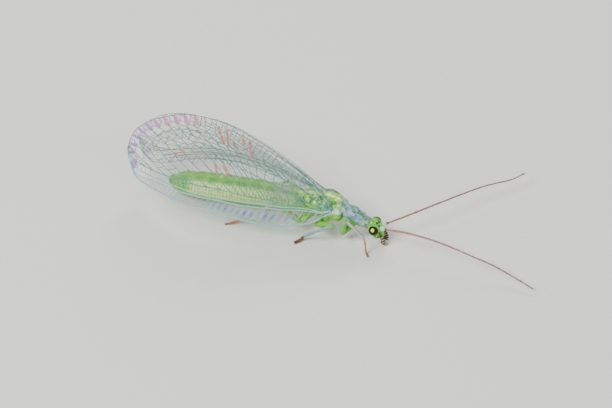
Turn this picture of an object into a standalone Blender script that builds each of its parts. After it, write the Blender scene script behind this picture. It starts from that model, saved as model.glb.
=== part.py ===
# Green lacewing at rest, life size: head, thorax, abdomen, six legs, two antennae and four wings.
# The body looks along +X, its left side is +Y, and its feet stand on the plane z = 0.
# Sizes below are in millimetres, measured from a point on the floor under the mesothorax;
# at the end everything is moved so that the origin is the bottom centre of the whole insect.
import math

import bmesh
import bpy
import numpy as np
from mathutils import Matrix, Vector

MM = 0.001
GAP = 0.3            # clear space between neighbouring pieces
EYE_GAP = 0.14       # the eyes sit closer in their sockets

# body axis, from the neck to the tip of the abdomen: distance along X, height, half height
BODY_AXIS = (
    (3.30, 1.24, 0.30),
    (2.95, 1.45, 0.44),
    (2.20, 1.80, 0.46),
    (1.60, 2.05, 0.52),
    (1.15, 2.12, 0.78),
    (0.40, 2.13, 0.92),
    (-0.25, 2.06, 0.84),
    (-0.80, 2.00, 0.86),
    (-1.50, 1.92, 0.74),
    (-2.20, 1.85, 0.74),
    (-3.60, 1.72, 0.82),
    (-5.40, 1.52, 0.87),
    (-7.20, 1.30, 0.88),
    (-8.80, 1.10, 0.84),
    (-9.90, 0.95, 0.72),
    (-10.60, 0.87, 0.50),
    (-10.95, 0.84, 0.20),
)
BODY_WIDTH = 1.08    # the body is this much wider than it is high

# where the body is parted, along X
NECK, PROTHORAX_END, MESOTHORAX_END, METATHORAX_END, ABDOMEN_END = 3.3, 1.5, -0.3, -1.6, -10.95
ABDOMEN_RINGS = 8
RING_DEPTH = 0.035

HEAD_CENTRE = (3.86, 0.0, 1.24)
HEAD_HALF = (0.40, 0.50, 0.46)
FACE_CENTRE = (4.16, 0.0, 0.92)
FACE_HALF = (0.30, 0.33, 0.36)
EYE_CENTRE = (3.87, 0.60, 1.30)
EYE_RADIUS = 0.32

ANTENNA_ROOT_RADIUS, ANTENNA_TIP_RADIUS = 0.24, 0.09
ANTENNA_RIGHT = ((4.62, -0.38, 1.33), (6.4, -0.34, 1.45), (8.6, -0.36, 1.38),
                 (10.9, -0.47, 1.05), (13.2, -0.68, 0.60), (15.27, -1.2, 0.25))
ANTENNA_LEFT = ((4.52, 0.40, 1.33), (5.7, 1.69, 1.50), (7.0, 3.24, 1.55),
                (8.8, 5.75, 1.40), (10.4, 7.70, 1.20), (11.35, 9.16, 1.00))

# legs of the right side: coxa, trochanter, knee, ankle, toe
LEGS = {
    "fore": ((2.15, -0.38, 1.10), (1.72, -0.85, 0.62), (2.08, -1.12, 2.05),
             (3.50, -1.30, 0.95), (3.97, -1.84, 0.0)),
    "mid": ((0.30, -0.50, 1.10), (-0.12, -0.98, 1.00), (1.22, -1.36, 1.50),
            (-0.62, -1.74, 0.38), (-1.10, -2.27, 0.0)),
    "hind": ((-0.85, -0.48, 1.10), (-1.12, -1.02, 0.88), (-2.88, -1.32, 2.08),
             (-5.10, -1.62, 0.42), (-6.05, -2.12, 0.0)),
}
# the left fore leg is held lower than the right one, behind the head
LEFT_FORE_LEG = ((2.15, -0.38, 1.10), (1.72, -0.85, 0.62), (2.42, -1.10, 0.98),
                 (3.25, -1.36, 0.40), (3.70, -1.76, 0.0))
FEMUR_RADIUS, TIBIA_RADIUS, TARSUS_RADIUS = 0.25, 0.23, 0.20
HIP_BEND = 0.27      # radius of the bend between coxa and femur
TOE_LENGTH = 0.35    # the last stretch of a tarsus lies along the floor

# wings stand over the body like a steep tent: ridge height against distance behind the mesothorax
RIDGE_HEIGHT = ((-0.6, 3.10), (0.6, 3.80), (1.3, 4.20), (2.4, 4.95), (3.6, 5.65), (4.7, 6.15),
                (5.8, 6.60), (7.0, 6.95), (8.4, 7.10), (14.0, 7.10))
RIDGE_HALF = 0.32    # each forewing's hind margin keeps this far from the middle plane
TENT_SPREAD = ((-0.6, 0.476), (6.0, 0.476), (9.0, 0.42), (11.0, 0.30), (12.5, 0.20),
               (13.9, 0.16))   # width gained per height lost
WING_STAND_OFF = 0.25
LEFT_SAG, LEFT_FORWARD = 0.35, 0.20   # the left wings lie a little lower and further forward

# costal edge and hind edge, as height against distance behind the mesothorax
FOREWING_ROOT, FOREWING_TIP = -1.05, 13.7
FOREWING_COSTA = ((-1.05, 2.20), (-0.5, 1.95), (0.0, 1.60), (0.6, 1.32), (1.26, 1.14), (2.0, 1.03),
                  (3.2, 1.12), (4.8, 1.26), (6.6, 1.48), (8.4, 1.50), (9.6, 1.46), (10.9, 1.37),
                  (11.8, 1.27), (12.6, 1.30), (13.1, 1.55), (13.5, 2.25), (13.7, 3.05))
FOREWING_HIND = ((-1.05, 2.52), (-0.7, 2.82), (-0.25, 3.05), (0.2, 3.35), (1.2, 4.15), (2.4, 4.95),
                 (3.6, 5.65), (4.7, 6.15), (5.8, 6.60), (7.0, 6.95), (8.4, 7.05), (9.8, 6.92),
                 (11.1, 6.50), (12.0, 6.02), (12.7, 5.48), (13.15, 4.95), (13.5, 4.22), (13.7, 3.45))
FOREWING_THICK, FOREWING_EDGE = 0.50, 0.30
HINDWING_ROOT, HINDWING_TIP = 1.45, 12.1
HINDWING_COSTA = ((1.45, 3.00), (2.2, 3.02), (3.2, 3.00), (5.0, 2.72), (8.0, 2.25), (10.0, 2.25),
                  (11.3, 2.55), (12.1, 3.15))
HINDWING_HIND = ((1.45, 3.30), (2.2, 3.55), (3.2, 4.05), (5.0, 4.95), (7.0, 5.60), (9.0, 5.60),
                 (10.6, 4.95), (11.6, 4.25), (12.1, 3.65))
HINDWING_THICK, HINDWING_EDGE = 0.45, 0.28
# how far across the wing the grid lines run; the long veins stand up on some of them
VEIN_RISE = 0.13
FOREWING_LINES = ((0.0, 0.5), (0.035, 0), (0.165, 0), (0.20, 1), (0.235, 0), (0.31, 0), (0.34, 0.8),
                  (0.37, 0), (0.49, 0), (0.52, 0.8), (0.55, 0), (0.69, 0), (0.72, 0.8), (0.75, 0),
                  (0.88, 0), (1.0, 0.3))
HINDWING_LINES = ((0.0, 0.5), (0.04, 0), (0.15, 0), (0.19, 1), (0.23, 0), (0.42, 0), (0.46, 0.8),
                  (0.50, 0), (0.66, 0), (0.70, 0.8), (0.74, 0), (1.0, 0.3))
WING_SPACE = 0.36    # clear space between a forewing and the hindwing under it


def clear_scene():
    for thing in list(bpy.data.objects):
        bpy.data.objects.remove(thing, do_unlink=True)


def finish(name, rgb, roughness, metallic=0.0, alpha=1.0):
    made = bpy.data.materials.new(name)
    made.use_nodes = True
    shader = made.node_tree.nodes["Principled BSDF"]
    shader.inputs["Base Color"].default_value = (*rgb, 1.0)
    shader.inputs["Roughness"].default_value = roughness
    shader.inputs["Metallic"].default_value = metallic
    shader.inputs["Alpha"].default_value = alpha
    made.diffuse_color = (*rgb, alpha)
    return made


def smooth(stations, at, column=1):
    # a cubic curve through the stations, read at the places in at
    x = np.array([s[0] for s in stations], float)
    y = np.array([s[column] for s in stations], float)
    if x[0] > x[-1]:
        x, y = x[::-1], y[::-1]
    slope = np.gradient(y, x)
    at = np.clip(np.asarray(at, float), x[0], x[-1])
    i = np.clip(np.searchsorted(x, at) - 1, 0, len(x) - 2)
    width = x[i + 1] - x[i]
    t = (at - x[i]) / width
    return ((2 * t**3 - 3 * t**2 + 1) * y[i] + (t**3 - 2 * t**2 + t) * width * slope[i]
            + (3 * t**2 - 2 * t**3) * y[i + 1] + (t**3 - t**2) * width * slope[i + 1])


def node(name, bm, material, collection):
    mesh = bpy.data.meshes.new(name)
    bm.to_mesh(mesh)
    bm.free()
    mesh.materials.append(material)
    mesh.shade_smooth()
    mesh.set_sharp_from_angle(angle=math.radians(40))
    made = bpy.data.objects.new(name, mesh)
    collection.objects.link(made)
    return made


def tube(points, radii, sides=8):
    # a round tube through the points, in millimetres, as a closed bmesh in metres
    curve = bpy.data.curves.new("route", "CURVE")
    curve.dimensions = "3D"
    curve.bevel_depth = MM
    curve.bevel_resolution = (sides - 4) // 2
    curve.use_fill_caps = True
    spline = curve.splines.new("POLY")
    spline.points.add(len(points) - 1)
    for place, point, radius in zip(spline.points, points, radii):
        place.co = (*(Vector(point) * MM), 1.0)
        place.radius = radius
    guide = bpy.data.objects.new("route", curve)
    bpy.context.scene.collection.objects.link(guide)
    seen = guide.evaluated_get(bpy.context.evaluated_depsgraph_get())
    mesh = bpy.data.meshes.new_from_object(seen)
    bm = bmesh.new()
    bm.from_mesh(mesh)
    bmesh.ops.remove_doubles(bm, verts=bm.verts, dist=MM * 0.001)
    bpy.data.objects.remove(guide, do_unlink=True)
    bpy.data.curves.remove(curve)
    bpy.data.meshes.remove(mesh)
    return bm


def ball(centre, half, segments=16, rings=10, turn=0.0):
    bm = bmesh.new()
    bmesh.ops.create_uvsphere(bm, u_segments=segments, v_segments=rings, radius=1.0)
    place = (Matrix.Translation(Vector(centre) * MM) @ Matrix.Rotation(turn, 4, "Y")
             @ Matrix.Diagonal((*(Vector(half) * MM), 1.0)))
    bmesh.ops.transform(bm, matrix=place, verts=bm.verts)
    return bm


def boolean(kept, other, operation, solver="EXACT"):
    step = kept.modifiers.new(operation.lower(), "BOOLEAN")
    step.operation = operation
    step.object = other
    step.solver = solver
    seen = kept.evaluated_get(bpy.context.evaluated_depsgraph_get())
    mesh = bpy.data.meshes.new_from_object(seen)
    kept.modifiers.remove(step)
    old = kept.data
    kept.data = mesh
    bpy.data.meshes.remove(old)


def keep_largest(thing):
    # drops every loose scrap but the surface with the most faces
    bm = bmesh.new()
    bm.from_mesh(thing.data)
    bmesh.ops.remove_doubles(bm, verts=bm.verts, dist=MM * 0.002)
    bmesh.ops.dissolve_degenerate(bm, edges=bm.edges, dist=MM * 0.002)
    unseen, pieces = set(bm.verts), []
    while unseen:
        piece, front = set(), [unseen.pop()]
        while front:
            vert = front.pop()
            piece.add(vert)
            for edge in vert.link_edges:
                near = edge.other_vert(vert)
                if near in unseen:
                    unseen.discard(near)
                    front.append(near)
        pieces.append(piece)
    pieces.sort(key=len)
    for piece in pieces[:-1]:
        bmesh.ops.delete(bm, geom=list(piece), context="VERTS")
    bm.to_mesh(thing.data)
    bm.free()


def clear_of(thing, neighbour, gap):
    # cuts thing back from a copy of its neighbour that is larger by the gap all round
    cutter = neighbour.copy()
    cutter.data = neighbour.data.copy()
    cutter.hide_render = True
    cutter.display_type = "WIRE"
    bpy.context.scene.collection.objects.link(cutter)
    bm = bmesh.new()
    bm.from_mesh(cutter.data)
    bm.normal_update()
    for vert in bm.verts:
        vert.co += vert.normal * gap * MM
    bm.to_mesh(cutter.data)
    bm.free()
    boolean(thing, cutter, "DIFFERENCE")
    mesh = cutter.data
    bpy.data.objects.remove(cutter, do_unlink=True)
    bpy.data.meshes.remove(mesh)
    keep_largest(thing)


def body_stretch(name, start, end, material, collection, count, rings=0):
    # one length of the body between two flat faces, with shallow rings where it is segmented
    run = np.linspace(start, end, count)
    if rings:
        run = start + (end - start) * np.sin(np.linspace(0, 1, count) * np.pi / 2) ** 0.85
    heights = smooth(BODY_AXIS, run)
    radii = smooth(BODY_AXIS, run, 2)
    if rings:
        share = (run - start) / (end - start)
        radii = radii - RING_DEPTH * np.cos(share * rings * 2 * np.pi) * (share < 0.93)
    bm = tube([(x, 0.0, z) for x, z in zip(run, heights)], radii, sides=14)
    bmesh.ops.scale(bm, vec=(1.0, BODY_WIDTH, 1.0), verts=bm.verts)
    return node(name, bm, material, collection)


def around_body(x, z, room):
    # half width of the body at x, grown by room, at height z; zero above and below it
    centre = smooth(BODY_AXIS, x)
    half_height = smooth(BODY_AXIS, x, 2) + room
    half_width = smooth(BODY_AXIS, x, 2) * BODY_WIDTH + room
    share = np.clip(1 - ((z - centre) / half_height) ** 2, 0, None)
    return half_width * np.sqrt(share)


def tent(x, z):
    # distance of the forewing's middle surface from the plane of symmetry
    back = -x
    side = RIDGE_HALF + np.clip(smooth(RIDGE_HEIGHT, back) - z, 0, None) * smooth(TENT_SPREAD, back)
    return side


def forewing_side(x, z):
    low = np.clip(smooth(RIDGE_HEIGHT, -x) - z, 0, 1.0)
    free = tent(x, z) + WING_STAND_OFF * low
    return np.maximum(free, around_body(x, z, GAP + FOREWING_THICK / 2 + 0.05))


def hindwing_side(x, z):
    inward = (FOREWING_THICK + HINDWING_THICK) / 2 + WING_SPACE
    return np.maximum(forewing_side(x, z) - inward * 1.06, RIDGE_HALF + 0.04)


def edge_height(stations, root, tip, share):
    # height of an edge, where share runs evenly round the rounded tip
    turned = [(math.asin(min(1, (back - root) / (tip - root))) * 2 / math.pi, z)
              for back, z in stations]
    return smooth(turned, share)


def wing(name, side, root, tip, costa, hind, thick, edge, rows, lines, material, collection,
         mirror):
    # a plate whose outer and inner faces are the same grid of triangles, closed round its rim
    along = np.linspace(0, 1, rows)
    across = np.array([place for place, _ in lines])
    rise = np.array([high for _, high in lines]) * VEIN_RISE
    columns = len(lines)
    turn, share = np.meshgrid(along, across, indexing="ij")
    back = root + (tip - root) * np.sin(turn * np.pi / 2)
    low = edge_height(costa, root, tip, turn)
    high = edge_height(hind, root, tip, turn)
    x, z = -back, low + (high - low) * share
    y = side(x, z)
    middle = np.stack([x, -y, z], axis=-1)
    du = np.gradient(middle, axis=0)
    dv = np.gradient(middle, axis=1)
    normal = np.cross(du, dv)
    normal /= np.linalg.norm(normal, axis=-1, keepdims=True)
    normal *= np.where(normal[..., 1:2] > 0, -1.0, 1.0)
    half = (thick + (edge - thick) * np.clip((share - 0.55) / 0.45, 0, 1)) / 2
    fade = np.clip((1 - turn) / 0.2, 0, 1) * np.clip(turn / 0.1, 0, 1)
    outer = middle + normal * (half + rise * fade)[..., None]
    inner = middle - normal * half[..., None]
    if mirror:
        gone = ((back - root) / (tip - root))[..., None] ** 1.5
        settle = np.array([LEFT_FORWARD, 0, -LEFT_SAG]) * gone
        outer, inner = (outer + settle) * (1, -1, 1), (inner + settle) * (1, -1, 1)
    bm = bmesh.new()
    tops = [[bm.verts.new(p * MM) for p in row] for row in outer]
    lows = [[bm.verts.new(p * MM) for p in row] for row in inner]
    for i in range(rows - 1):
        for j in range(columns - 1):
            for grid in (tops, lows):
                a, b, c, d = grid[i][j], grid[i + 1][j], grid[i + 1][j + 1], grid[i][j + 1]
                bm.faces.new((a, b, c))
                bm.faces.new((a, c, d))
    rim = ([(i, 0) for i in range(rows)] + [(rows - 1, j) for j in range(1, columns)]
           + [(i, columns - 1) for i in range(rows - 2, -1, -1)]
           + [(0, j) for j in range(columns - 2, 0, -1)])
    for (i, j), (k, m) in zip(rim, rim[1:] + rim[:1]):
        bm.faces.new((tops[i][j], tops[k][m], lows[k][m]))
        bm.faces.new((tops[i][j], lows[k][m], lows[i][j]))
    bmesh.ops.recalc_face_normals(bm, faces=bm.faces)
    return node(name, bm, material, collection)


def flat_foot(bm):
    # cuts what lies under the floor away and closes the cut with a flat
    cut = bmesh.ops.bisect_plane(bm, geom=bm.verts[:] + bm.edges[:] + bm.faces[:],
                                 plane_co=(0, 0, 0), plane_no=(0, 0, 1), clear_inner=True)
    rim = [e for e in cut["geom_cut"] if isinstance(e, bmesh.types.BMEdge)]
    bmesh.ops.contextual_create(bm, geom=rim)


def between(a, b, share):
    return tuple(Vector(a).lerp(Vector(b), share))


def round_corner(before, corner, after, radius, count=4):
    # points on a circle of this radius that touches both stretches that meet in the corner
    back, on = (before - corner).normalized(), (after - corner).normalized()
    half = back.angle(on) / 2
    centre = corner + (back + on).normalized() * radius / math.sin(half)
    first = (corner + back * radius / math.tan(half) - centre).normalized()
    last = (corner + on * radius / math.tan(half) - centre).normalized()
    return [centre + first.slerp(last, i / (count - 1)).normalized() * radius for i in range(count)]


def leg(which, joints, sign, skin, foot, collection):
    # the upper node is coxa and femur, the lower one tibia and tarsus, parted at the knee
    side = "left" if sign > 0 else "right"
    coxa, trochanter, knee, ankle, toe = [Vector((x, -sign * y, z)) for x, y, z in joints]
    femur_run = (knee - trochanter).length
    tibia_run = (ankle - knee).length
    femur_end = trochanter.lerp(knee, 1 - 0.5 * GAP / femur_run)
    bend = round_corner(coxa, trochanter, knee, HIP_BEND)
    bm = tube([coxa, *bend, between(bend[-1], knee, 0.5), femur_end],
              [FEMUR_RADIUS * k for k in (1.0, 1.0, 0.98, 0.98, 1.0, 1.0, 0.85)])
    upper = node(f"leg_{which}_{side}_femur", bm, skin, collection)
    start = knee.lerp(ankle, (0.5 * GAP + TIBIA_RADIUS) / tibia_run)
    away = Vector((toe.x - ankle.x, toe.y - ankle.y, 0)).normalized()
    heel = Vector((toe.x, toe.y, TARSUS_RADIUS * 0.75)) - away * TOE_LENGTH
    end = Vector((toe.x, toe.y, TARSUS_RADIUS * 0.6))
    bm = tube([start, between(start, ankle, 0.5), ankle, heel, end],
              [TIBIA_RADIUS * 0.95, TIBIA_RADIUS, TIBIA_RADIUS * 0.95, TARSUS_RADIUS,
               TARSUS_RADIUS * 0.9])
    flat_foot(bm)
    lower = node(f"leg_{which}_{side}_tibia", bm, foot, collection)
    return upper, lower


def antenna(name, route, material, collection):
    count = 26
    place = np.linspace(0, len(route) - 1, count)
    stations = [(i, *p) for i, p in enumerate(route)]
    points = np.stack([smooth(stations, place, k) for k in (1, 2, 3)], axis=-1)
    share = np.linspace(0, 1, count)
    radii = ANTENNA_ROOT_RADIUS + (ANTENNA_TIP_RADIUS - ANTENNA_ROOT_RADIUS) * share**0.7
    return node(name, tube(points, radii), material, collection)


def mouthparts(material, collection):
    # jaws and labrum as one core, with two pairs of bent palps sunk into it
    core = node("mouthparts", ball((4.42, 0.0, 0.52), (0.20, 0.26, 0.24), 12, 8), material,
                collection)
    for sign in (-1, 1):
        for reach, spread, radius in ((0.30, 0.34, 0.09), (0.12, 0.18, 0.08)):
            root = (4.42, sign * spread * 0.4, 0.50)
            bend = (4.42 + reach, sign * spread, 0.42)
            tip = (4.46 + reach, sign * (spread + 0.04), 0.22)
            palp = node("palp", tube([root, bend, tip], [radius, radius, radius * 0.7], 6),
                        material, collection)
            boolean(core, palp, "UNION", "MANIFOLD")
            bpy.data.objects.remove(palp, do_unlink=True)
    keep_largest(core)
    return core


def build():
    clear_scene()
    insect = bpy.data.collections.new("green_lacewing")
    bpy.context.scene.collection.children.link(insect)
    green = finish("green_body", (0.30, 0.62, 0.12), 0.45)
    pale = finish("pale_pronotum", (0.42, 0.60, 0.50), 0.5)
    belly = finish("abdomen_green", (0.45, 0.68, 0.20), 0.45)
    black = finish("eye", (0.10, 0.10, 0.02), 0.15, metallic=0.6)
    dark = finish("mouthparts", (0.05, 0.04, 0.03), 0.4)
    horn = finish("antenna", (0.30, 0.16, 0.09), 0.5)
    shin = finish("leg_green", (0.40, 0.62, 0.25), 0.5)
    foot = finish("leg_pale", (0.55, 0.45, 0.32), 0.5)
    pane = finish("wing", (0.75, 0.88, 0.80), 0.2, alpha=0.35)

    half = GAP / 2
    prothorax = body_stretch("prothorax", NECK, PROTHORAX_END + half, pale, insect, 10)
    mesothorax = body_stretch("mesothorax", PROTHORAX_END - half, MESOTHORAX_END + half, green,
                              insect, 9)
    metathorax = body_stretch("metathorax", MESOTHORAX_END - half, METATHORAX_END + half, green,
                              insect, 7)
    abdomen = body_stretch("abdomen", METATHORAX_END - half, ABDOMEN_END, belly, insect, 34,
                           ABDOMEN_RINGS)

    head = node("head", ball(HEAD_CENTRE, HEAD_HALF), green, insect)
    face = node("face", ball(FACE_CENTRE, FACE_HALF), green, insect)
    boolean(head, face, "UNION", "MANIFOLD")
    bpy.data.objects.remove(face, do_unlink=True)
    eyes = []
    for sign, side in ((-1, "right"), (1, "left")):
        centre = (EYE_CENTRE[0], sign * EYE_CENTRE[1], EYE_CENTRE[2])
        eyes.append(node(f"eye_{side}", ball(centre, (EYE_RADIUS,) * 3), black, insect))
        clear_of(head, eyes[-1], EYE_GAP)
    clear_of(head, prothorax, GAP)
    mouth = mouthparts(dark, insect)
    clear_of(mouth, head, GAP)
    for name, route in (("antenna_right", ANTENNA_RIGHT), ("antenna_left", ANTENNA_LEFT)):
        clear_of(antenna(name, route, horn, insect), head, GAP)

    for which, joints in LEGS.items():
        for sign in (-1, 1):
            held = LEFT_FORE_LEG if (which, sign) == ("fore", 1) else joints
            upper, lower = leg(which, held, sign, shin, foot, insect)
            clear_of(lower, upper, GAP)
            for part in (prothorax, mesothorax, metathorax):
                clear_of(upper, part, GAP)

    for mirror, side in ((False, "right"), (True, "left")):
        wing(f"forewing_{side}", forewing_side, FOREWING_ROOT, FOREWING_TIP, FOREWING_COSTA,
             FOREWING_HIND, FOREWING_THICK, FOREWING_EDGE, 22, FOREWING_LINES, pane, insect,
             mirror)
        wing(f"hindwing_{side}", hindwing_side, HINDWING_ROOT, HINDWING_TIP, HINDWING_COSTA,
             HINDWING_HIND, HINDWING_THICK, HINDWING_EDGE, 18, HINDWING_LINES, pane, insect,
             mirror)
    return insect


def move_to_bottom_centre(collection):
    corners = np.array([v.co for thing in collection.objects for v in thing.data.vertices])
    low, high = corners.min(axis=0), corners.max(axis=0)
    shift = Vector((-(low[0] + high[0]) / 2, -(low[1] + high[1]) / 2, -low[2]))
    for thing in collection.objects:
        thing.data.transform(Matrix.Translation(shift))


move_to_bottom_centre(build())
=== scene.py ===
import math

import bpy
import numpy as np
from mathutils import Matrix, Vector


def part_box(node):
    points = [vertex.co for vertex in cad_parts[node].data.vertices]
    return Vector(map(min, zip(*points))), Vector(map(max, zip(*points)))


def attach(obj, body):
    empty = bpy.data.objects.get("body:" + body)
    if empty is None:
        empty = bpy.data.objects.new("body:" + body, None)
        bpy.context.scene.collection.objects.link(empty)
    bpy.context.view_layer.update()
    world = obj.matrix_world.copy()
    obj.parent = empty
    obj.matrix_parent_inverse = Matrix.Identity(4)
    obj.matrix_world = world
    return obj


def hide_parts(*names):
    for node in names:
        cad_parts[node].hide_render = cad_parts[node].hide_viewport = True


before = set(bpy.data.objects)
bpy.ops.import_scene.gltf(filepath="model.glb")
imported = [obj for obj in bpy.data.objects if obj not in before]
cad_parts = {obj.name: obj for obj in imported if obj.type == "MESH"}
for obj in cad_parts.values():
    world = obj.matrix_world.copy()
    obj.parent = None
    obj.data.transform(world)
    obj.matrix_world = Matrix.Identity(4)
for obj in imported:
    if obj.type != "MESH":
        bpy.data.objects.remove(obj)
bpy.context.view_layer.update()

# lengths here are millimetres from the point on the floor under the mesothorax:
# x forward, y to the insect's left, z up, as in the part's source
mm = 0.001
rightEye = (3.87, -0.60, 1.30)    # centre of the solid right eye
eyeLow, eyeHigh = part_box("eye_right")
shift = np.array((eyeLow + eyeHigh) / 2) / mm - np.array(rightEye)
chance = np.random.default_rng(7)
sides = ((-1, "right"), (1, "left"))


def toFrame(points):
    return (np.asarray(points, float) + shift) * mm


def smoothCurve(stations, at, column=1):
    # cubic through the stations: each stretch is a Hermite blend of its two ends and their slopes
    x = np.array([s[0] for s in stations], float)
    y = np.array([s[column] for s in stations], float)
    if x[0] > x[-1]:
        x, y = x[::-1], y[::-1]
    slope = np.gradient(y, x)
    at = np.clip(np.asarray(at, float), x[0], x[-1])
    i = np.clip(np.searchsorted(x, at) - 1, 0, len(x) - 2)
    w = x[i + 1] - x[i]
    t = (at - x[i]) / w
    return ((2 * t**3 - 3 * t**2 + 1) * y[i] + (t**3 - 2 * t**2 + t) * w * slope[i]
            + (3 * t**2 - 2 * t**3) * y[i + 1] + (t**3 - t**2) * w * slope[i + 1])


def smoothPath(points, count):
    # the same cubic run through points in space, evenly in their number
    stations = [(i, *p) for i, p in enumerate(points)]
    at = np.linspace(0, len(points) - 1, count)
    return np.stack([smoothCurve(stations, at, k) for k in (1, 2, 3)], axis=-1)


def bell(value, middle, width):
    return np.exp(-((value - middle) / width) ** 2)


def step(value, start, end):
    t = np.clip((value - start) / (end - start), 0, 1)
    return t * t * (3 - 2 * t)


def unit(vectors):
    return vectors / np.maximum(np.linalg.norm(vectors, axis=-1, keepdims=True), 1e-12)


def mixColours(a, b, share):
    share = np.asarray(share)[..., None]
    return np.asarray(a) * (1 - share) + np.asarray(b) * share


def layered(base, colours, layers):
    # lays the layers over the base; each is a paint or a colour's name, and its share
    for paint, share in layers:
        base = mixColours(base, colours[paint] if isinstance(paint, str) else paint, share)
    return base


def walked(path):
    # the length of the path up to each of its points
    return np.concatenate([[0], np.cumsum(np.linalg.norm(np.diff(path, axis=0), axis=1))])


def pointsAt(path, lengths):
    return np.stack([np.interp(lengths, walked(path), path[:, k]) for k in range(3)], -1)


def circle(angle, across, upright):
    # cos angle * across + sin angle * upright, at every point of a path
    return (np.cos(angle)[None, :, None] * across[:, None]
            + np.sin(angle)[None, :, None] * upright[:, None])


# surfaces: each gives points, triangles and a pair of surface values for every point

def speckle(p, size, seed):
    # seven plane waves of about this wavelength in seeded directions, added into a mottled field
    waves = np.random.default_rng(seed)
    way = unit(waves.normal(0, 1, (7, 3))) / size * waves.uniform(0.7, 1.3, (7, 1))
    return np.sin(2 * np.pi * (p @ way.T) + waves.uniform(0, 2 * np.pi, 7)).sum(1) / 2.6


def gridTriangles(rows, columns, around):
    i, j = np.meshgrid(np.arange(rows - 1), np.arange(columns if around else columns - 1),
                       indexing="ij")
    nextJ = (j + 1) % columns
    a, b = i * columns + j, (i + 1) * columns + j
    c, d = (i + 1) * columns + nextJ, i * columns + nextJ
    return np.concatenate([np.stack([a, b, c], -1).reshape(-1, 3),
                           np.stack([a, c, d], -1).reshape(-1, 3)])


def capped(rings, values):
    # a stack of closed rings, with a point in the middle of the first and the last ring
    rows, sides = rings.shape[:2]
    points = np.concatenate([rings.reshape(-1, 3), rings[:1].mean(1), rings[-1:].mean(1)])
    faces = gridTriangles(rows, sides, True)
    j = np.arange(sides)
    k = (j + 1) % sides
    first, last = rows * sides, rows * sides + 1
    end = (rows - 1) * sides
    fans = np.concatenate([np.stack([np.full(sides, first), j, k], -1),
                           np.stack([np.full(sides, last), end + k, end + j], -1)])
    spread = np.concatenate([values.reshape(-1, 2), values[:1].mean(1), values[-1:].mean(1)])
    return points, np.concatenate([faces, fans]), spread


def tube(path, radii, sides=8, up=(0, 0, 1)):
    # point = path + radius * (cos angle * across + sin angle * upright)
    path = np.asarray(path, float)
    radii = np.broadcast_to(np.asarray(radii, float), len(path))
    along = unit(np.gradient(path, axis=0))
    across = unit(np.cross(np.broadcast_to(np.asarray(up, float), path.shape), along))
    angle = np.linspace(0, 2 * np.pi, sides, endpoint=False)
    rings = path[:, None] + radii[:, None, None] * circle(angle, across, np.cross(along, across))
    share = np.linspace(0, 1, len(path))
    values = np.stack(np.broadcast_arrays(share[:, None], angle[None] / (2 * np.pi)), -1)
    return capped(rings[:, ::-1], values)


def ball(centre, half, turn=0.0, rows=24, sides=32):
    # point = centre + half size * (sin a cos b, sin a sin b, cos a), turned about y
    a = np.linspace(0.06, np.pi - 0.06, rows)[:, None]
    b = np.linspace(0, 2 * np.pi, sides, endpoint=False)[None]
    x, y, z = np.broadcast_arrays(half[0] * np.sin(a) * np.cos(b), half[1] * np.sin(a) * np.sin(b),
                                  half[2] * np.cos(a))
    rings = np.stack([x * math.cos(turn) + z * math.sin(turn), y,
                      z * math.cos(turn) - x * math.sin(turn)], -1) + np.asarray(centre)
    values = np.stack(np.broadcast_arrays(a / np.pi, b / (2 * np.pi)), -1)
    return capped(rings, values)


def joined(shells):
    points, faces, values, start = [], [], [], 0
    for p, f, v in shells:
        points.append(p)
        faces.append(f + start)
        values.append(v)
        start += len(p)
    return np.concatenate(points), np.concatenate(faces), np.concatenate(values)


def hairs(roots, tips, thickness):
    # each hair is a three-sided spike from its root to its tip
    along = unit(tips - roots)
    side = unit(np.cross(along, np.array([0.31, 0.52, 0.79])))
    feet = roots[:, None] + thickness * circle(np.arange(3) * 2 * np.pi / 3, side, np.cross(along, side))
    points = np.concatenate([feet, tips[:, None]], 1).reshape(-1, 3)
    pattern = np.array([[0, 1, 3], [1, 2, 3], [2, 0, 3], [0, 2, 1]])
    faces = (np.arange(len(roots))[:, None, None] * 4 + pattern[None]).reshape(-1, 3)
    return points, faces, np.zeros((len(points), 2))


def hairsOnTube(path, radius, first, last, count, sink, lean):
    # random roots on a tube, and the directions in which their hairs lean along it
    where = chance.integers(first, last, count)
    along = unit(np.gradient(path, axis=0))[where]
    spin = unit(np.cross(along, chance.normal(0, 1, (count, 3))))
    return path[where] + spin * radius[where][:, None] * sink, unit(spin + along * lean)


def readOut(items, key, width=1, kind=float):
    values = np.empty(len(items) * width, kind)
    items.foreach_get(key, values)
    return values.reshape(-1, width)


def placed(name, data):
    made = bpy.data.objects.new(name, data)
    bpy.context.scene.collection.objects.link(made)
    return made


def plain(colour, shell):
    return np.broadcast_to(colour, shell[0].shape)


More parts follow.
